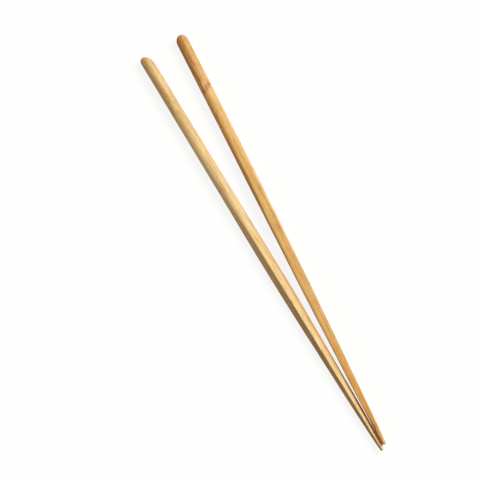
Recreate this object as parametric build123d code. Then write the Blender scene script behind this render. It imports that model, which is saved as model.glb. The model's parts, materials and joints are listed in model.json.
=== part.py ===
from build123d import *
import os
from itertools import product
from math import acos, atan, cos, degrees, radians, sin, sqrt, tan

# A pair of bamboo chopsticks, lying on a table in a narrow V with the tips drawn together.
# Each stick is one piece of bamboo: a round rod, swelling a little towards its middle, whose
# front half is planed on four sides to a slim square tip. The back end is cut off on a slant.
# Lengths are in millimetres, angles in degrees, and +Z is up. The middle line of the V is X,
# from the slanted ends at -X to the tips at +X. The origin is under the middle of the pair.

# Sizes of one stick. The two differ only in length.
left_length = 270.6
right_length = 269.2
round_end_diameter = 7.2
round_end_length = 26.0
tip_side = 2.2
tip_bevel = 0.3

# The slanted cut: its angle to the stick's axis, the rounding of its rim, and how far it is turned
# about the axis from one of the stick's planed sides. The two sticks were cut as they came.
cut_angle = 32.0
cut_rounding = 1.5
left_cut_turn = -112.0
right_cut_turn = 180.5

# How the two lie: the angle of the V, how far the left tip reaches past the right one, how far
# the right tip's edge lies over the left tip, how much it is lifted for the thicker stretch behind
# it, the clearance between the sticks, and how far each one is rolled from lying flat on a planed
# side. Both cuts end up facing the table.
spread_angle = 4.65
left_lead = 2.4
tip_overlap = 0.3
tip_lift = 0.2
stick_clearance = 0.1
left_roll = -38.0
right_roll = -3.5

# Each line is a station down the taper, from the end of the round stretch to the tip, and the
# section there. The station is a share of the taper's length. The planed square's side is a
# share of the way from the tip's side to the round end's diameter. The rod's diameter is a
# share of the round end's diameter.
taper_shares = (
    (0.0, 1.03, 1.0),
    (0.29, 0.976, 1.065),
    (0.465, 0.8, 1.133),
    (0.56, 0.746, 1.122),
    (0.875, 0.296, 0.78),
    (1.0, 0.0, 0.65),
)

end_radius = round_end_diameter / 2
cut_span = round_end_diameter / sin(radians(cut_angle))
half_spread = spread_angle / 2


def taper_stations(length):
    """Places along a stick, from its slanted end, with the half sizes of square and rod there."""
    side_range = round_end_diameter - tip_side
    return [
        (
            round_end_length + station_share * (length - round_end_length),
            (tip_side + square_share * side_range) / 2,
            rod_share * end_radius,
        )
        for station_share, square_share, rod_share in taper_shares
    ]


def round_end():
    """The cylinder at the back, from its nose at X = 0, with the slanted cut facing up.

    A core is thinner than the stick by the rim's rounding, and is cut off on the slant. Growing
    it by that much all round gives the full cylinder with a rounded rim.
    """
    core_radius = end_radius - cut_rounding
    core_length = cut_span + round_end_length
    upright = (Align.CENTER, Align.CENTER, Align.MIN)
    core = Plane.YZ * Cylinder(core_radius, core_length, align=upright)
    slant = Plane(
        origin=(cut_rounding, 0, -core_radius),
        x_dir=(cos(radians(cut_angle)), 0, sin(radians(cut_angle))),
        z_dir=(-sin(radians(cut_angle)), 0, cos(radians(cut_angle))),
    )
    core -= slant * Box(3 * cut_span, 2 * round_end_diameter, 2 * cut_span, align=upright)
    grown = offset(core, cut_rounding, kind=Kind.ARC)
    return split(grown, Plane.YZ.offset(round_end_length), keep=Keep.BOTTOM)


def swelling_rod(length):
    """The turned rod from the end of the cylinder to the tip, thickest near its middle."""
    crest = [(place, rod_radius) for place, _, rod_radius in taper_stations(length)]
    outline = Polyline((length, 0), (round_end_length, 0), *crest, close=True)
    return revolve(make_face(outline), Axis.X)


def planed_slab(length):
    """A slab along X, wider than the rod, whose top and bottom are two of the planed sides."""
    stations = taper_stations(length)
    places = [-end_radius] + [place for place, _, _ in stations[:-1]] + [length - tip_bevel, length]
    half_sides = [half_side for _, half_side, _ in stations]
    heights = [half_sides[0]] + half_sides + [half_sides[-1] - tip_bevel]
    top = list(zip(places, heights))
    bottom = [(place, -height) for place, height in reversed(top)]
    outline = make_face(Polyline(*top, *bottom, close=True))
    return extrude(Plane.XZ * outline, amount=round_end_diameter, both=True)


def make_stick(length, cut_turn):
    """One stick on X, from its nose at zero, with a planed side facing up."""
    slab = planed_slab(length)
    rod = Rot(X=cut_turn) * round_end() + swelling_rod(length)
    stick = rod & slab & Rot(X=90) * slab
    return stick.solid()


def half_depth(half_side, rod_radius, roll):
    """How far a section reaches sideways, or down, from the axis when the stick is rolled."""
    corner_reach = min(rod_radius, half_side * sqrt(2))
    corner_angle = degrees(acos(min(1, half_side / corner_reach)))
    lean = min(abs(roll) % 90, 90 - abs(roll) % 90)
    return corner_reach * cos(radians(max(0, corner_angle - lean)))


def depths(length, roll, cut_turn):
    """The stations along a stick with the half depth at each, first where its underside begins.

    That is by the nose when the cut faces up, and at the cut's far end when it faces down.
    """
    facing_down = 1 - cos(radians(roll + cut_turn))
    underside = cut_rounding + (end_radius - cut_rounding) * facing_down / tan(radians(cut_angle))
    sections = [(underside, end_radius, end_radius)] + taper_stations(length)
    return [(place, half_depth(half_side, rod_radius, roll)) for place, half_side, rod_radius in sections]


def resting_line(sections, length, balance):
    """The axis's slope, and its height at the tip, for a stick that lies on the table.

    It touches the table at one station behind its balance point and one ahead of it. Of all
    such pairs, that is the pair whose chord passes lowest under the balance point.
    """
    behind = [(place, depth) for place, depth in sections if place <= balance]
    ahead = [(place, depth) for place, depth in sections if place > balance]

    def depth_at_balance(pair):
        (back, back_depth), (front, front_depth) = pair
        return back_depth + (front_depth - back_depth) * (balance - back) / (front - back)

    (back, back_depth), (front, front_depth) = max(product(behind, ahead), key=depth_at_balance)
    slope = (front_depth - back_depth) / (front - back)
    return slope, front_depth + slope * (length - front)


def propped_slope(sections, length, tip_height):
    """The axis's slope for a stick whose tip is held at a height and whose back is on the table."""
    return min((tip_height - depth) / (length - place) for place, depth in sections[:-1])


def tips_apart(left_sections, right_sections):
    """The distance across the V between the two axes at the right tip.

    The right tip's edge lies over the left tip. The sticks taper towards the tips while the V
    narrows, so every station further back is looked at too, and keeps the clearance.
    """
    pairs = list(zip(left_sections, right_sections))
    (_, left_tip_half), (_, right_tip_half) = pairs[-1]
    further_back = [
        left_half + right_half + stick_clearance
        - (left_length - left_place + right_length - right_place) * sin(radians(half_spread))
        for (left_place, left_half), (right_place, right_half) in pairs[:-1]
    ]
    return max(left_tip_half + right_tip_half - tip_overlap, *further_back)


def lay_down(stick, length, roll, slope, heading, tip):
    """A stick rolled, set at its slope and turned to its heading, with its tip at a point."""
    rolled = Rot(X=roll) * Pos(X=-length) * stick
    return Pos(*tip) * Rot(Z=heading) * Rot(Y=-degrees(atan(slope))) * rolled


left_stick = make_stick(left_length, left_cut_turn)
right_stick = make_stick(right_length, right_cut_turn)
left_sections = depths(left_length, left_roll, left_cut_turn)
right_sections = depths(right_length, right_roll, right_cut_turn)

# The right stick leans on the left one's tip, so part of its weight shifts the left one's
# balance point forwards, by the lever from the right stick's back end.
tip_load = right_stick.volume * right_stick.center(CenterOf.MASS).X / right_length
left_moment = left_stick.volume * left_stick.center(CenterOf.MASS).X + tip_load * left_length
left_balance = left_moment / (left_stick.volume + tip_load)
left_slope, left_tip_height = resting_line(left_sections, left_length, left_balance)

# The left tip's upper right side rises from its right corner, and the right tip lies on it.
lean = radians(abs(left_roll))
corner_rise = tip_side / 2 * (cos(lean) - sin(lean)) + tip_overlap * tan(lean)
right_tip_half = right_sections[-1][1]
lying_height = left_tip_height + corner_rise + stick_clearance / cos(lean)
right_tip_height = lying_height + tip_lift + right_tip_half
right_slope = propped_slope(right_sections, right_length, right_tip_height)

across = tips_apart(left_sections, right_sections)
left_tip = (left_lead, -across / 2, left_tip_height)
right_tip = (0, across / 2, right_tip_height)
left_laid = lay_down(left_stick, left_length, left_roll, left_slope, half_spread, left_tip)
right_laid = lay_down(right_stick, right_length, right_roll, right_slope, -half_spread, right_tip)

pair_box = Compound([left_laid, right_laid]).bounding_box()
to_origin = Pos(X=-pair_box.center().X, Y=-pair_box.center().Y, Z=-pair_box.min.Z)

nodes = {
    "left_chopstick": to_origin * left_laid,
    "right_chopstick": to_origin * right_laid,
}

os.makedirs("parts", exist_ok=True)
for node, solid in nodes.items():
    solid.label = node
    export_step(solid, f"parts/{node}.step")
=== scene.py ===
"""A pair of bamboo chopsticks on a white table, in a narrow V with the tips drawn together.

Lengths are in metres and angles in degrees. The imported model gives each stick's place: the mount
at its round end lies on the stick's axis. A stick has its own frame: x runs from the nose of the
slanted end to the tip, and y and z are square to two of the planed sides.
"""

import json
from math import cos, pi, radians, sin, tan

import bpy
import numpy as np
from mathutils import Matrix, Vector


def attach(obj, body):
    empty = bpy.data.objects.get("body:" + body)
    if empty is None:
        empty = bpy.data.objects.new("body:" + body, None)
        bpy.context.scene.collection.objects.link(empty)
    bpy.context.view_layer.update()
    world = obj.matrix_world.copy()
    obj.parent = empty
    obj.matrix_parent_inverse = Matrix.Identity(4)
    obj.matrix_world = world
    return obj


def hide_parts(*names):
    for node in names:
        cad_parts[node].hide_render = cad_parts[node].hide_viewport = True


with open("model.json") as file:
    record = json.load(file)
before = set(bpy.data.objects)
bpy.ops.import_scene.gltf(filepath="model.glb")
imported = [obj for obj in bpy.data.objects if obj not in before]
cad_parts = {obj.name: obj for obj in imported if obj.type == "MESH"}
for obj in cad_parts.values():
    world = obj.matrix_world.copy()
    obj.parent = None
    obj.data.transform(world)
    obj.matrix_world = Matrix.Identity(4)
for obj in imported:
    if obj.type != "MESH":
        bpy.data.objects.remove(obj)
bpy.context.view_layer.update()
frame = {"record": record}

mm = 0.001

# The form of a stick. The two differ in length, in how they are rolled, in how their cuts are
# turned from the planed sides, and in how they bow.
stick_lengths = {"left_chopstick": 270.6 * mm, "right_chopstick": 269.2 * mm}
stick_rolls = {"left_chopstick": -38.0, "right_chopstick": -3.5}
cut_turns = {"left_chopstick": -112.0, "right_chopstick": 180.5}
stick_bows = {"left_chopstick": -0.16 * mm, "right_chopstick": 0.36 * mm}
bow_crest_share = 0.33
round_end_length = 26.0 * mm
cut_angle = 32.0
cut_rounding = 1.5 * mm
tip_side = 2.2 * mm
tip_bevel = 0.3 * mm

# The planed edges are rounded by a share of the half side, and more at the tip, where use has worn
# them. Over the same length the tip is worn a little thinner too.
edge_rounding_share = 0.095
worn_rounding_share = 0.3
worn_length = 9.0 * mm
tip_wear = {"left_chopstick": 0.14 * mm, "right_chopstick": 0.04 * mm}

# The left tip is worn flat on the side where the right stick rubs on it. The wear begins at the
# first distance before the end, and has its full depth from the second one on. The least cosine
# keeps the flat's distance finite round the stick's back. The end faces lean a little: the side
# towards -Y stops short by this share of the width.
rub_depth = 0.5 * mm
rub_reach = (3.4 * mm, 1.4 * mm)
rub_least_cosine = 0.01
tip_slants = {"left_chopstick": 0.05, "right_chopstick": 0.22}
slant_reach = 4.0 * mm

# Each line is a station down the taper, from the end of the round stretch to the tip: its share of
# the taper's length, the planed square's side as a share of the way from the tip's side to the
# round end's diameter, and the rod's diameter as a share of the round end's diameter.
taper_shares = (
    (0.0, 1.03, 1.0),
    (0.29, 0.976, 1.065),
    (0.465, 0.8, 1.133),
    (0.56, 0.746, 1.122),
    (0.875, 0.296, 0.78),
    (1.0, 0.0, 0.65),
)
blend_reach = 8.0 * mm
blend_samples = 9

# The unevenness that planing leaves: its depth, the number of waves in it, their lengths, and the
# shares of the shaft over which it grows from nothing behind the cut and fades at the tip.
ripple_depth = 0.05 * mm
ripple_waves = 7
ripple_lengths = (14 * mm, 70 * mm)
ripple_growth = 1 / 12
ripple_fading = 1 / 20

# The raised ring that a joint of the bamboo leaves, on the right stick near its slanted end. The
# groove beside it is given by how far it lies from the ring, in ring widths, and its share of the
# ring's height. The ring's height round the stick is a mean and a swing.
ring_place = 34.8 * mm
ring_slant = 0.28
ring_turn = 36.0
ring_width = 1.3 * mm
ring_height = 0.07 * mm
groove_distance = 1.6
groove_share = 0.7
ring_mean = 0.65
ring_swing = 0.35

# How finely the surface is divided, and how far its columns crowd towards the planed edges.
columns = 144
crowding = 0.62
cut_rows = 12
rim_rows = 16
shaft_rows = 590
cap_rows = 3

# The camera stands where the photograph was taken from: its turn and middle over the table, and
# its scale at the height of the sticks' middles.
pixel_size = 0.588 * mm
frame_pixels = 480
camera_turn = 61.03
camera_aim = (-13.18 * mm, -14.86 * mm)
camera_height = 6.0
sticks_height = 4.2 * mm
sensor_width = 36.0

# Light, in units at which a white surface that faces up renders as white.
key_strength = 0.955
key_elevation = 48.0
key_bearing = (-0.25, 0.97)
key_softness = 24.0
sky_strength = 0.31
sky_colour = (1.0, 0.94, 0.84)

# The table: its radius in metres, the corners of its rim, its colour, and how far it is self-lit.
table_reach = 4.0
table_corners = 64
table_colour = (0.93, 0.93, 0.93, 1)
self_lit_share = 0.88


def station_values(length):
    """The taper's stations as arrays: place along the stick, half side and rod radius."""
    shares = np.array(taper_shares)
    radius = round_end_radius()
    places = round_end_length + shares[:, 0] * (length - round_end_length)
    half_sides = (tip_side + shares[:, 1] * (2 * radius - tip_side)) / 2
    return places, half_sides, shares[:, 2] * radius


def mount_of(node):
    """The mount at a stick's round end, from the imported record."""
    name = node.split("_")[0] + "_round_end"
    return next(mount for mount in frame["record"]["mounts"] if mount["name"] == name)


def round_end_radius():
    """The radius of the round end, which both sticks share."""
    return mount_of("left_chopstick")["dims"]["r_mm"] * mm


def eased(x, places, values, length):
    """Straight runs between stations, averaged over a window that closes at the stick's ends."""
    window = np.clip(np.minimum(x, length - x), 0, blend_reach)
    offsets = np.linspace(-1, 1, blend_samples)
    samples = [np.interp(x + share * window, places, values) for share in offsets]
    return np.mean(samples, axis=0)


def section_radius(angle, half_side, rod_radius, rounding_share):
    """The distance from the axis to the skin.

    A square of half side h has its skin at h / cos(a), a being the angle from the nearest side's
    middle. Near a corner the skin is an arc of radius e about a centre c = (h - e) * sqrt(2) out
    on the diagonal: c * cos(d) + sqrt(e * e - (c * sin(d)) ** 2), d being the angle from the
    diagonal and e a share of h. The rod cuts both off at its own radius, with a soft passage.
    """
    quarter = pi / 2
    from_side = np.abs((angle + quarter / 2) % quarter - quarter / 2)
    from_corner = quarter / 2 - from_side
    edge = rounding_share * half_side
    centre = (half_side - edge) * np.sqrt(2)
    inside = np.clip(edge**2 - (centre * np.sin(from_corner)) ** 2, 0, None)
    corner = centre * np.cos(from_corner) + np.sqrt(inside)
    flat = half_side / np.cos(from_side)
    on_flat = half_side * np.tan(from_side) < half_side - edge
    square = np.where(on_flat, flat, corner)
    passage = edge / 2
    closeness = np.clip(passage - np.abs(square - rod_radius), 0, None) / passage
    return np.minimum(square, rod_radius) - closeness**2 * passage / 4


def column_angles():
    """Angles round the section, a turn in all, set closer together at the square's corners.

    The angle is t - s * sin(4 * t) / 4 turned by an eighth, so its steps are 1 - s at a corner.
    """
    turn = np.arange(columns) * 2 * pi / columns
    return turn - crowding * np.sin(4 * turn) / 4 + pi / 4


def ripple(x, angle, seed):
    """The slow unevenness that planing leaves, from zero down to minus its depth.

    It is a sum of products of sines along the stick and round it, with seeded phases.
    """
    draw = np.random.default_rng(seed)
    total = np.zeros(np.broadcast(x, angle).shape)
    for _ in range(ripple_waves):
        length_of_wave = draw.uniform(*ripple_lengths)
        rounds = draw.integers(0, 4)
        along = np.sin(2 * pi * x / length_of_wave + draw.uniform(0, 2 * pi))
        total = total + along * np.cos(rounds * angle + draw.uniform(0, 2 * pi))
    return -ripple_depth * (0.5 + 0.5 * np.tanh(total / 2))


def rubbed_flat(skin, x, angle, node):
    """The skin with a flat worn on the tip's side that faces +Y, deeper towards the end.

    A flat at distance d from the axis has its skin at d / cos(a), a being the angle from +Y.
    """
    begin, full = rub_reach
    share = np.clip((begin - (stick_lengths[node] - x)) / (begin - full), 0, 1)
    distance = skin.max(axis=1, keepdims=True) - rub_depth * share**2 * (3 - 2 * share)
    side = np.clip(np.cos(angle + radians(stick_rolls[node])), rub_least_cosine, 1)
    return np.minimum(skin, distance / side)


def lean_end(points, node):
    """Points of a stick's frame with the tip's end face leaning back towards -Y."""
    roll = radians(stick_rolls[node])
    level = points[..., 1] * cos(roll) - points[..., 2] * sin(roll)
    share = np.clip(1 - (stick_lengths[node] - points[..., 0]) / slant_reach, 0, 1)
    leant = points.copy()
    leant[..., 0] -= share * tip_slants[node] * (tip_side / 2 - level)
    return leant


def joint_ring(x, angle):
    """The raised ring: a bell across a slanted line round the stick, and a groove beside it.

    The bell is exp(-u * u), u being the distance from the line in ring widths. Both are weaker on
    the stick's underside.
    """
    centre_line = ring_place + ring_slant * round_end_radius() * np.cos(angle - radians(ring_turn))
    bell = np.exp(-(((x - centre_line) / ring_width) ** 2))
    groove = np.exp(-(((x - centre_line - groove_distance * ring_width) / ring_width) ** 2))
    strength = ring_mean + ring_swing * np.sin(angle)
    return ring_height * (bell - groove_share * groove) * strength


def stick_rows(node):
    """Rows of points from the middle of the cut to the middle of the tip, in the stick's frame.

    The cut: a core that is thinner than the stick by the rim's rounding ends on a slanted plane.
    Its face, moved out by the rounding along the plane's normal, is the flat of the cut. The rim
    turns from that normal to the radial direction about each point of the core's edge. The shaft
    runs from the rim to the tip with the section's own radius, thinner where the tip is worn. A
    bevel and a cap close it, and the end face leans.
    """
    length = stick_lengths[node]
    radius = round_end_radius()
    core = radius - cut_rounding
    angle = column_angles()
    slope = radians(cut_angle)
    turned = radians(cut_turns[node])
    normal = np.array([-sin(slope), -cos(slope) * sin(turned), cos(slope) * cos(turned)])
    radial = np.stack([np.zeros(columns), np.cos(angle), np.sin(angle)], axis=-1)
    edge_x = cut_rounding + core * (1 + np.sin(angle - turned)) / tan(slope)
    edge = radial * core
    edge[:, 0] = edge_x
    middle = np.array([cut_rounding + core / tan(slope), 0, 0])

    reach = np.linspace(0, 1, cut_rows + 1)[1:, None, None]
    face = middle + reach * (edge - middle) + cut_rounding * normal

    swing = np.arccos(np.clip(radial @ normal, -1, 1))[:, None]
    turn = np.linspace(0, 1, rim_rows + 1)[1:, None, None]
    fan = (np.sin((1 - turn) * swing) * normal + np.sin(turn * swing) * radial) / np.sin(swing)
    rim = edge + cut_rounding * fan

    places, half_sides, rod_radii = station_values(length)
    share = np.linspace(0, 1, shaft_rows + 1)[1:, None]
    x = edge_x + share * (length - tip_bevel - edge_x)
    half_side = eased(x, places, half_sides, length)
    rod_radius = eased(x, places, rod_radii, length)
    worn = np.clip(1 - (length - x) / worn_length, 0, 1) ** 2
    rounding_share = edge_rounding_share + worn * (worn_rounding_share - edge_rounding_share)
    skin = section_radius(angle, half_side - worn * tip_wear[node], rod_radius, rounding_share)
    fade = np.clip(share / ripple_growth, 0, 1) * np.clip((1 - share) / ripple_fading, 0, 1)
    skin = skin + fade * ripple(x, angle, len(node))
    if node == "right_chopstick":
        skin = skin + joint_ring(x, angle)
    else:
        skin = rubbed_flat(skin, x, angle, node)
    shaft = np.stack([x, skin * np.cos(angle), skin * np.sin(angle)], axis=-1)

    narrow = (tip_side / 2 - tip_bevel) / (tip_side / 2)
    end = shaft[-1] * [0, narrow, narrow] + [length, 0, 0]
    shrink = np.linspace(1, 0, cap_rows + 1)[1:-1, None, None]
    cap = end * np.array([0, 1, 1]) * shrink + [length, 0, 0]

    first = middle + cut_rounding * normal
    last = np.array([length, 0, 0])
    rows = np.concatenate([face, rim, shaft, end[None], cap])
    return first, lean_end(rows, node), lean_end(last, node)


def placed(points, node):
    """Points of a stick's frame set in the row's frame.

    The stick's x is the mount's axis turned inwards. Its y before the roll is level. The bow
    pushes the stick sideways by b * sin(pi * u ** p) ** 2, u being the share of its length.
    """
    mount = mount_of(node)
    along = -Vector(mount["axis"]).normalized()
    level = Vector((0, 0, 1)).cross(along).normalized()
    roll = Matrix.Rotation(radians(stick_rolls[node]), 3, along)
    across = roll @ level
    facing = roll @ along.cross(level)
    wall_middle = cut_rounding + mount["dims"]["length_mm"] * mm / 2
    nose = Vector(mount["pos_m"]) - along * wall_middle
    axes = np.array([along, across, facing])
    share = np.clip(points[..., :1] / stick_lengths[node], 0, 1)
    skew = np.log(0.5) / np.log(bow_crest_share)
    bow = stick_bows[node] * np.sin(pi * share**skew) ** 2
    return points @ axes + np.array(nose) + bow * np.array(level)


def skin_mesh(name, first, rows, last, node):
    """A closed mesh of rows of points between two poles.

    Each face of the grid joins a point, its neighbour round the row and the two after them. Two
    attributes go with it: grain, the point in the stick's own frame in millimetres, and facing,
    the direction from the axis to the point there.
    """
    count, around, _ = rows.shape
    own = np.concatenate([[first], rows.reshape(-1, 3), [last]])
    index = 1 + np.arange(count * around).reshape(count, around)
    beside = np.roll(index, -1, axis=1)
    quads = np.stack([index[:-1], beside[:-1], beside[1:], index[1:]], axis=-1).reshape(-1, 4)
    start = np.stack([np.zeros(around, int), beside[0], index[0]], axis=-1)
    stop = np.stack([index[-1], beside[-1], np.full(around, len(own) - 1)], axis=-1)
    corners = np.concatenate([start.ravel(), quads.ravel(), stop.ravel()])
    sizes = np.concatenate([np.full(around, 3), np.full(len(quads), 4), np.full(around, 3)])

    mesh = bpy.data.meshes.new(name)
    mesh.vertices.add(len(own))
    mesh.vertices.foreach_set("co", placed(own, node).astype(np.float32).ravel())
    mesh.loops.add(len(corners))
    mesh.loops.foreach_set("vertex_index", corners.astype(np.int32))
    mesh.polygons.add(len(sizes))
    mesh.polygons.foreach_set("loop_start", (np.cumsum(sizes) - sizes).astype(np.int32))
    mesh.update(calc_edges=True)
    mesh.polygons.foreach_set("use_smooth", np.ones(len(sizes), bool))
    grain = mesh.attributes.new("grain", "FLOAT_VECTOR", "POINT")
    grain.data.foreach_set("vector", (own / mm).astype(np.float32).ravel())
    outwards = own * [0, 1, 1]
    outwards = outwards / np.maximum(np.linalg.norm(outwards, axis=1, keepdims=True), 0.01 * mm)
    facing = mesh.attributes.new("facing", "FLOAT_VECTOR", "POINT")
    facing.data.foreach_set("vector", outwards.astype(np.float32).ravel())
    mesh.validate()
    return mesh


class Nodes:
    """A material's nodes, made and joined by short calls. Lengths in them are in millimetres."""

    def __init__(self, name):
        self.material = bpy.data.materials.new(name)
        self.material.use_nodes = True
        self.tree = self.material.node_tree
        self.tree.nodes.clear()

    def add(self, kind, sockets=None, out=0, **settings):
        """A node with its settings, its sockets set or joined. Gives one output, if it has any."""
        node = self.tree.nodes.new(kind)
        for key, value in settings.items():
            setattr(node, key, value)
        for key, value in (sockets or {}).items():
            if isinstance(value, bpy.types.NodeSocket):
                self.tree.links.new(value, node.inputs[key])
            else:
                node.inputs[key].default_value = value
        return node.outputs[out] if node.outputs else None

    def math(self, operation, a, b=0.0, c=0.0):
        """A sum, product or other function of numbers."""
        return self.add("ShaderNodeMath", {0: a, 1: b, 2: c}, operation=operation)

    def ramp(self, value, low, high, smooth=True):
        """Zero below the low value, one above the high one, and a slope between."""
        kind = "SMOOTHSTEP" if smooth else "LINEAR"
        sockets = {"Value": value, "From Min": low, "From Max": high}
        return self.add("ShaderNodeMapRange", sockets, interpolation_type=kind)

    def split(self, vector):
        """A vector's three numbers."""
        node = self.tree.nodes.new("ShaderNodeSeparateXYZ")
        self.tree.links.new(vector, node.inputs[0])
        return node.outputs[0], node.outputs[1], node.outputs[2]

    def stretched(self, vector, scales):
        """A vector times one scale for each axis."""
        return self.add("ShaderNodeVectorMath", {0: vector, 1: scales}, operation="MULTIPLY")

    def noise(self, vector, scales, detail=2.0, roughness=0.5):
        """Soft noise of a stretched vector, from zero to one."""
        sockets = {
            "Vector": self.stretched(vector, scales),
            "Scale": 1.0,
            "Detail": detail,
            "Roughness": roughness,
        }
        return self.add("ShaderNodeTexNoise", sockets)

    def mix(self, share, a, b, blend="MIX"):
        """Two colours mixed. Sockets 6 and 7 are the node's colours, and output 2 its result."""
        sockets = {0: share, 6: a, 7: b}
        return self.add("ShaderNodeMix", sockets, out=2, data_type="RGBA", blend_type=blend)

    def tint(self, share, tone, colour):
        """A tone that is multiplied by a colour, as far as the share says."""
        return self.mix(share, tone, self.mix(1.0, tone, colour, "MULTIPLY"))


# The tones of spots. Colours are linear, here and below.
spot_tones = {
    "knot": (0.46, 0.18, 0.03, 1),
    "orange": (0.60, 0.29, 0.065, 1),
    "cream": (0.93, 0.74, 0.44, 1),
    "peach": (0.94, 0.58, 0.25, 1),
}

# The tones that both sticks share. Each multiplies the wood or is mixed into it.
shared_tones = {
    # Painted shade on the head's side turned away from the lamp.
    "painted nose shade": (0.84, 0.80, 0.76, 1),
    "dull cloud": (0.90, 0.85, 0.74, 1),
    "golden cloud": (0.86, 0.62, 0.25, 1),
    "warm hue": (0.99, 0.88, 0.66, 1),
    "cool hue": (1.01, 1.04, 1.18, 1),
    "light streak": (0.95, 0.70, 0.34, 1),
    "dark streak": (0.78, 0.60, 0.40, 1),
    "dark hair": (0.6, 0.45, 0.3, 1),
    # Painted shade where the tips lie together.
    "painted tip shade": (0.50, 0.27, 0.09, 1),
}

# Places along the stick, in millimetres, where a tone comes in and where it has its full share.
# Where the first place is the larger, the tone grows towards the nose.
nose_shade_reach = (60.0, 20.0)
tip_tint_reach = (150.0, 275.0)
narrow_reach = (175.0, 250.0)
shaded_edge_reach = (110.0, 190.0)
mottle_reach = (90.0, 30.0)
# The painted shade between the tips: where it lies along the stick, and how far before the end it
# fades.
tip_shade_reach = (246.0, 258.0)
tip_shade_fading = 2.0

# The bump that the fibres make, and how the finished wood takes the light.
bump_depth = 0.12 * mm
bump_strength = 0.35
least_roughness = 0.42
roughness_swing = 0.18
wood_ior = 1.4

# Finishes. Lengths in them are in millimetres. Round a stick, the wood is pale towards one side,
# given across and upwards in the stick's own frame, and honey beyond the pale share. The pale side
# is turned up or towards the lamp, so besides the wood's drifting tone the split is partly painted
# light. The other tones multiply that, each between two places along the stick or round it: patina
# on the handle, a tint towards the tip, skin, which is painted shade on the side turned away from
# the lamp, edge, which is painted shade along the edge that faces the other stick, and painted
# shade where the tips lie together. A joint is a place and a strength. A spot is a tone, a place
# along and across the upper side, its half length and half width, and a strength. A fibre line
# lies at a place across the upper side, from one place along to another, with its strength.
# Mottle is the two tints of small patches on the handle.
finishes = {
    "left_chopstick": {
        "slot": "straw_bamboo",
        "pale": (0.79, 0.585, 0.28, 1),
        "honey": (0.70, 0.42, 0.165, 1),
        "brown": (0.34, 0.155, 0.05, 1),
        "pale_side": (-0.62, 0.78),
        "pale_share": 0.1,
        "patina": (0.84, 0.77, 0.67, 1),
        "patina_reach": (105.0, 45.0),
        "patina_round": (0.75, -0.1),
        "tip_tint": (1.03, 1.08, 1.16, 1),
        "skin": (0.45, 0.26, 0.06, 1),
        "shade_side_reach": (50.0, 215.0),
        "shade_side_round": (0.66, 0.86),
        "edge": (0.80, 0.55, 0.24, 1),
        "mottle": ((0.99, 0.92, 0.70, 1), (1.02, 1.08, 1.22, 1)),
        "tip_shade_round": (0.42, 0.72),
        "tip_shade_end": 267.3,
        "joints": (),
        "spots": (
            ("cream", 17.0, -0.2, 12.0, 1.8, 0.2),
            ("peach", 261.0, -0.2, 20.0, 1.0, 0.8),
        ),
        "fibre_lines": ((-2.2, 70.0, 112.0, 0.2), (1.9, 126.0, 165.0, 0.25)),
        "seed": 3.0,
    },
    "right_chopstick": {
        "slot": "honey_bamboo",
        "pale": (0.75, 0.50, 0.205, 1),
        "honey": (0.72, 0.42, 0.125, 1),
        "brown": (0.31, 0.13, 0.03, 1),
        # Pale on the side towards the lamp: partly a painted highlight along that edge.
        "pale_side": (1.0, 0.0),
        "pale_share": 0.55,
        "patina": (0.70, 0.54, 0.25, 1),
        "patina_reach": (72.0, 20.0),
        "patina_round": (1.3, 0.7),
        "tip_tint": (0.90, 0.75, 0.43, 1),
        "skin": (0.70, 0.64, 0.60, 1),
        "shade_side_reach": (-60.0, 120.0),
        "shade_side_round": (0.32, 0.72),
        "edge": (1.0, 1.0, 1.0, 1),
        "mottle": ((0.93, 0.74, 0.44, 1), (1.02, 1.10, 1.25, 1)),
        "tip_shade_round": (-0.1, -0.55),
        "tip_shade_end": 270.0,
        "joints": ((34.5, 0.2), (258.0, 0.5)),
        "spots": (
            ("orange", 12.0, 1.7, 14.0, 1.4, 0.35),
            ("cream", 29.0, 1.0, 4.0, 1.5, 0.12),
            ("cream", 33.2, -0.9, 3.0, 0.7, 0.4),
            ("knot", 33.2, 2.2, 1.7, 1.3, 1.0),
            ("knot", 34.9, -0.4, 1.2, 0.8, 0.8),
            ("knot", 35.5, 2.3, 0.7, 0.6, 0.6),
            ("knot", 19.7, 0.9, 0.9, 0.7, 0.5),
            ("orange", 256.5, 0.0, 3.0, 1.2, 0.4),
            ("knot", 257.2, -0.6, 2.6, 1.0, 0.8),
            ("knot", 260.4, 0.1, 1.8, 0.6, 0.7),
            # This cream spot is a painted highlight on the tip's lit edge.
            ("cream", 267.0, 0.9, 4.0, 0.6, 0.5),
        ),
        "fibre_lines": (
            (-0.3, 3.5, 8.5, 0.9),
            (-1.2, 2.0, 7.5, 0.3),
            (-0.9, 12.0, 17.5, 0.9),
            (-1.8, 23.0, 40.0, 0.7),
            (1.6, 85.0, 130.0, 0.45),
            (0.8, 186.0, 199.0, 0.3),
        ),
        "seed": 11.0,
    },
}


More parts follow.
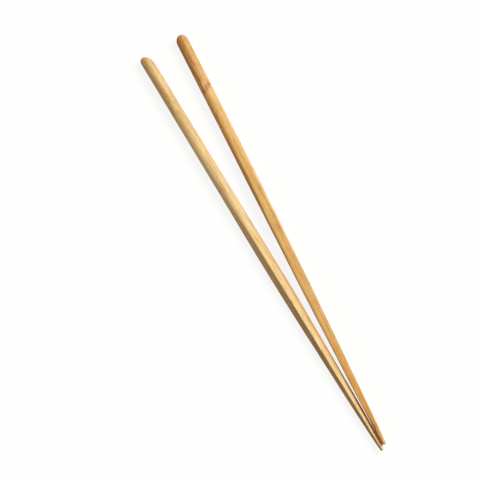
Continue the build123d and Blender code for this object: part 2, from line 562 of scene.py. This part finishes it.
def bamboo(name, finish):
    """Bamboo: fibres that run along the stick, bundles of them, and a mark at each joint.

    Noise is stretched along the stick by giving it a smaller scale on x than on y and z. A tone's
    share is such noise between two values, or a place between two, or a product of both.
    """
    n = Nodes(name)
    own = n.add("ShaderNodeAttribute", out=1, attribute_name="grain")
    facing = n.add("ShaderNodeAttribute", out=1, attribute_name="facing")
    x, y, _ = n.split(own)
    _, across, upwards = n.split(facing)
    shift = (finish["seed"] * 7, finish["seed"], finish["seed"] * 3)
    seeded = n.add("ShaderNodeVectorMath", {0: own, 1: shift}, operation="ADD")

    # The fibres wander slowly from side to side, so they run in and out of the planed surface.
    wander = n.add(
        "ShaderNodeTexNoise",
        {"Vector": n.stretched(seeded, (0.02, 0.12, 0.12)), "Scale": 1.0, "Detail": 2.0},
        out=1,
    )
    centred = n.add("ShaderNodeVectorMath", {0: wander, 1: (-0.5, -0.5, -0.5)}, operation="ADD")
    sideways = n.stretched(centred, (0.0, 2.2, 2.2))
    fibre_place = n.add("ShaderNodeVectorMath", {0: seeded, 1: sideways}, operation="ADD")

    broad = n.noise(fibre_place, (0.012, 0.45, 0.45), detail=3.0)
    clouds = n.noise(fibre_place, (0.07, 0.42, 0.42), detail=3.0, roughness=0.6)
    hues = n.noise(fibre_place, (0.10, 0.36, 0.36), detail=4.0, roughness=0.65)
    mottle = n.noise(fibre_place, (0.26, 0.62, 0.62), detail=2.0, roughness=0.6)
    streaks = n.noise(fibre_place, (0.035, 2.6, 2.6), detail=4.0, roughness=0.6)
    hairs = n.noise(fibre_place, (0.12, 9.0, 9.0), detail=3.0, roughness=0.6)

    bundle_distance = n.add(
        "ShaderNodeTexVoronoi",
        {"Vector": n.stretched(fibre_place, (0.012, 1.15, 1.15)), "Scale": 1.0, "Randomness": 0.9},
    )
    bundle_core = n.ramp(bundle_distance, 0.3, 0.12)
    bundle_fade = n.ramp(n.noise(fibre_place, (0.05, 1.1, 1.1), detail=2.0), 0.42, 0.62)
    bundles = n.math("MULTIPLY", bundle_core, bundle_fade)

    # Short dark dashes are the ends of fibres that the plane cut through.
    flecks = n.ramp(n.noise(fibre_place, (0.45, 4.2, 4.2), detail=2.0), 0.64, 0.76)
    dashes = n.ramp(n.noise(fibre_place, (0.16, 1.7, 1.7), detail=1.0), 0.61, 0.69)

    # The pale side is turned up or towards the lamp, so this split is partly painted light.
    pale_across, pale_upwards = finish["pale_side"]
    sideways_share = n.math("MULTIPLY", across, pale_across)
    towards = n.math("MULTIPLY_ADD", upwards, pale_upwards, sideways_share)
    side = n.math("ADD", towards, n.math("MULTIPLY_ADD", broad, 0.9, -0.45))
    paleness = n.ramp(side, finish["pale_share"] - 0.4, finish["pale_share"] + 0.4)
    tone = n.mix(paleness, finish["honey"], finish["pale"])

    handled = n.ramp(n.math("MULTIPLY_ADD", hues, 50.0, x), *finish["patina_reach"])
    handled = n.math("MULTIPLY", handled, n.ramp(across, *finish["patina_round"]))
    tone = n.tint(handled, tone, finish["patina"])
    # Painted shade: the round end's side turned away from the lamp is darkened.
    nose = n.math("MULTIPLY", n.ramp(x, *nose_shade_reach), n.ramp(across, -0.2, -0.9))
    tone = n.tint(nose, tone, shared_tones["painted nose shade"])

    # A tint that grows towards the tip with a cloudy start: darker on the right stick, paler on
    # the left.
    tip_tinting = n.ramp(n.math("MULTIPLY_ADD", clouds, 40.0, x), *tip_tint_reach)
    tone = n.tint(tip_tinting, tone, finish["tip_tint"])
    # Painted shade on the side turned away from the lamp (the skin tint), along the planed part,
    # on a narrower band towards the tip.
    planed = n.ramp(x, *finish["shade_side_reach"], smooth=False)
    away_across = n.math("MULTIPLY", across, -1.0)
    narrowing = n.math("MULTIPLY_ADD", n.ramp(x, *narrow_reach), -0.1, away_across)
    shade_side_share = n.ramp(narrowing, *finish["shade_side_round"])
    tone = n.tint(n.math("MULTIPLY", planed, shade_side_share), tone, finish["skin"])
    # Painted shade along the edge that faces the other stick, where it blocks the lamp.
    shaded_edge_share = n.math("MULTIPLY", n.ramp(x, *shaded_edge_reach), n.ramp(across, -0.1, 0.68))
    tone = n.tint(shaded_edge_share, tone, finish["edge"])

    tone = n.tint(n.ramp(clouds, 0.5, 0.3), tone, shared_tones["dull cloud"])
    golden = n.math("MULTIPLY", n.ramp(clouds, 0.5, 0.72), 0.3)
    tone = n.mix(golden, tone, shared_tones["golden cloud"])
    tone = n.tint(n.ramp(hues, 0.5, 0.72), tone, shared_tones["warm hue"])
    tone = n.tint(n.ramp(hues, 0.5, 0.32), tone, shared_tones["cool hue"])
    mottling = n.ramp(x, *mottle_reach)
    warm, light = finish["mottle"]
    tone = n.tint(n.math("MULTIPLY", mottling, n.ramp(mottle, 0.5, 0.6)), tone, warm)
    tone = n.tint(n.math("MULTIPLY", mottling, n.ramp(mottle, 0.5, 0.4)), tone, light)
    light_streaks = n.math("MULTIPLY", n.ramp(streaks, 0.35, 0.7), 0.12)
    tone = n.mix(light_streaks, tone, shared_tones["light streak"])
    dark_streaks = n.math("MULTIPLY", n.ramp(streaks, 0.62, 0.3), 0.5)
    tone = n.tint(dark_streaks, tone, shared_tones["dark streak"])
    dark_hairs = n.math("MULTIPLY", n.ramp(hairs, 0.55, 0.3), 0.25)
    tone = n.tint(dark_hairs, tone, shared_tones["dark hair"])

    # A fibre line wanders with the broad noise, fades at both ends, and shows on the upper side.
    for place, start, stop, strength in finish["fibre_lines"]:
        wandering = n.math("MULTIPLY_ADD", broad, 1.4, y)
        away = n.math("ABSOLUTE", n.math("ADD", wandering, -0.7 - place))
        along = n.math("MULTIPLY", n.ramp(x, start - 5, start + 3), n.ramp(x, stop + 6, stop - 4))
        broken = n.math("MULTIPLY", along, n.ramp(upwards, 0.1, 0.3))
        line = n.math("MULTIPLY", n.ramp(away, 0.7, 0.15), broken)
        tone = n.mix(n.math("MULTIPLY", line, strength), tone, finish["brown"])

    tone = n.mix(n.math("MULTIPLY", bundles, 0.6), tone, finish["brown"])
    tone = n.mix(n.math("MULTIPLY", flecks, 0.35), tone, finish["brown"])
    tone = n.mix(n.math("MULTIPLY", dashes, 0.5), tone, finish["brown"])

    # A joint: a brown line that slants round the stick, dark specks in it, and paler wood past it.
    rough = n.math("MULTIPLY_ADD", n.noise(own, (0.4, 0.8, 0.8), detail=3.0), 7.0, -3.5)
    specks = n.ramp(n.noise(own, (0.55, 0.6, 0.6), detail=3.0), 0.46, 0.60)
    for place, strength in finish["joints"]:
        slanted = n.math("MULTIPLY_ADD", y, 0.6, x)
        distance = n.math("ADD", n.math("ADD", slanted, -place), rough)
        near = n.ramp(n.math("ABSOLUTE", distance), 2.6, 0.3)
        past = n.math("MULTIPLY", n.ramp(distance, 0.5, 2.5), n.ramp(distance, 9.0, 3.0))
        tone = n.mix(n.math("MULTIPLY", past, 0.45), tone, finish["pale"])
        tone = n.mix(n.math("MULTIPLY", near, strength), tone, spot_tones["knot"])
        speckled = n.math("MULTIPLY", n.math("MULTIPLY", near, specks), 0.5)
        tone = n.mix(speckled, tone, finish["brown"])

    # A spot is an ellipse with a rough edge, and shows on the upper side.
    for kind, place, side, half_length, half_width, strength in finish["spots"]:
        offset = n.add("ShaderNodeVectorMath", {0: own, 1: (-place, -side, 0)}, operation="ADD")
        share = n.stretched(offset, (1 / half_length, 1 / half_width, 0))
        distance = n.add("ShaderNodeVectorMath", {0: share}, out=1, operation="LENGTH")
        mark = n.ramp(n.math("MULTIPLY_ADD", rough, 0.35, distance), 1.2, 0.35)
        mark = n.math("MULTIPLY", mark, n.ramp(upwards, 0.0, 0.3))
        tone = n.mix(n.math("MULTIPLY", mark, strength), tone, spot_tones[kind])

    # Painted shade where the tips lie together: the crevice between them and the right tip's
    # shadow on the left.
    tip_shade_end = finish["tip_shade_end"]
    before_end = n.ramp(x, tip_shade_end, tip_shade_end - tip_shade_fading)
    tip_shade_along = n.math("MULTIPLY", n.ramp(x, *tip_shade_reach), before_end)
    tip_shade_share = n.math("MULTIPLY", tip_shade_along, n.ramp(across, *finish["tip_shade_round"]))
    tone = n.tint(tip_shade_share, tone, shared_tones["painted tip shade"])

    height = n.math("ADD", n.math("MULTIPLY", streaks, 0.6), n.math("MULTIPLY", hairs, 0.4))
    height = n.math("SUBTRACT", height, n.math("MULTIPLY", bundles, 0.35))
    bump_sockets = {"Strength": bump_strength, "Distance": bump_depth, "Height": height}
    bump = n.add("ShaderNodeBump", bump_sockets)
    roughness = n.math("MULTIPLY_ADD", streaks, roughness_swing, least_roughness)
    shader = n.add(
        "ShaderNodeBsdfPrincipled",
        {"Base Color": tone, "Roughness": roughness, "Normal": bump, "IOR": wood_ior},
    )
    n.add("ShaderNodeOutputMaterial", {"Surface": shader})
    return n.material


def white_table():
    """The table's finish: white, and mostly self-lit for what sees it, so shadows are light."""
    n = Nodes("white_table")
    path = n.tree.nodes.new("ShaderNodeLightPath")
    seen = n.math("MAXIMUM", path.outputs["Is Camera Ray"], path.outputs["Is Glossy Ray"])
    seen = n.math("MAXIMUM", seen, path.outputs["Is Transmission Ray"])
    lit = n.add("ShaderNodeBsdfDiffuse", {"Color": table_colour})
    glow = n.add("ShaderNodeEmission", {"Color": (1, 1, 1, 1), "Strength": 1.0})
    share = n.math("MULTIPLY", seen, self_lit_share)
    both = n.add("ShaderNodeMixShader", {0: share, 1: lit, 2: glow})
    n.add("ShaderNodeOutputMaterial", {"Surface": both})
    return n.material


def make_table():
    """A round flat table top, wide enough that its edge is far from every view."""
    around = np.linspace(0, 2 * pi, table_corners, endpoint=False)
    level = np.zeros(table_corners)
    rim = np.stack([table_reach * np.cos(around), table_reach * np.sin(around), level], axis=-1)
    mesh = bpy.data.meshes.new("table")
    mesh.from_pydata(rim.tolist(), [], [list(range(table_corners))])
    mesh.materials.append(white_table())
    table = bpy.data.objects.new("table", mesh)
    bpy.context.scene.collection.objects.link(table)


def make_stick(node):
    """One stick in its finish, standing for its node."""
    finish = finishes[node]
    name = node.replace("chopstick", "bamboo_stick")
    first, rows, last = stick_rows(node)
    mesh = skin_mesh(name, first, rows, last, node)
    mesh.materials.append(bamboo(finish["slot"], finish))
    stick = bpy.data.objects.new(name, mesh)
    bpy.context.scene.collection.objects.link(stick)
    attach(stick, "root")
    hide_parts(node)


def make_light():
    """A broad soft lamp from the right stick's side, and an even sky.

    The sky is warm as light, and white as seen.
    """
    lamp = bpy.data.lights.new("window", "SUN")
    lamp.energy = key_strength * pi
    lamp.angle = radians(key_softness)
    bearing = Vector(key_bearing).normalized() * cos(radians(key_elevation))
    towards = Vector((bearing.x, bearing.y, sin(radians(key_elevation))))
    window = bpy.data.objects.new("window", lamp)
    window.rotation_euler = towards.to_track_quat("Z", "Y").to_euler()
    bpy.context.scene.collection.objects.link(window)

    world = bpy.data.worlds.new("sky")
    world.use_nodes = True
    nodes = world.node_tree.nodes
    links = world.node_tree.links
    nodes.clear()
    path = nodes.new("ShaderNodeLightPath")
    lighting = nodes.new("ShaderNodeBackground")
    lighting.inputs["Color"].default_value = (*sky_colour, 1)
    lighting.inputs["Strength"].default_value = sky_strength
    backdrop = nodes.new("ShaderNodeBackground")
    backdrop.inputs["Color"].default_value = (1, 1, 1, 1)
    both = nodes.new("ShaderNodeMixShader")
    output = nodes.new("ShaderNodeOutputWorld")
    seen = path.outputs["Is Camera Ray"]
    for ray in ("Is Glossy Ray", "Is Transmission Ray"):
        either = nodes.new("ShaderNodeMath")
        either.operation = "MAXIMUM"
        links.new(seen, either.inputs[0])
        links.new(path.outputs[ray], either.inputs[1])
        seen = either.outputs[0]
    links.new(seen, both.inputs[0])
    links.new(lighting.outputs[0], both.inputs[1])
    links.new(backdrop.outputs[0], both.inputs[2])
    links.new(both.outputs[0], output.inputs["Surface"])
    bpy.context.scene.world = world


def make_camera():
    """The camera looks straight down at the table, turned as the photograph is."""
    camera = bpy.data.cameras.new("camera")
    camera.sensor_width = sensor_width
    camera.lens = sensor_width * (camera_height - sticks_height) / (pixel_size * frame_pixels)
    camera.clip_end = 20.0
    view = bpy.data.objects.new("camera", camera)
    view.location = (camera_aim[0], camera_aim[1], camera_height)
    view.rotation_euler = (0, 0, radians(camera_turn))
    bpy.context.scene.collection.objects.link(view)
    bpy.context.scene.camera = view


for node in stick_lengths:
    make_stick(node)
make_table()
make_light()
make_camera()
bpy.context.scene.view_settings.view_transform = "Standard"
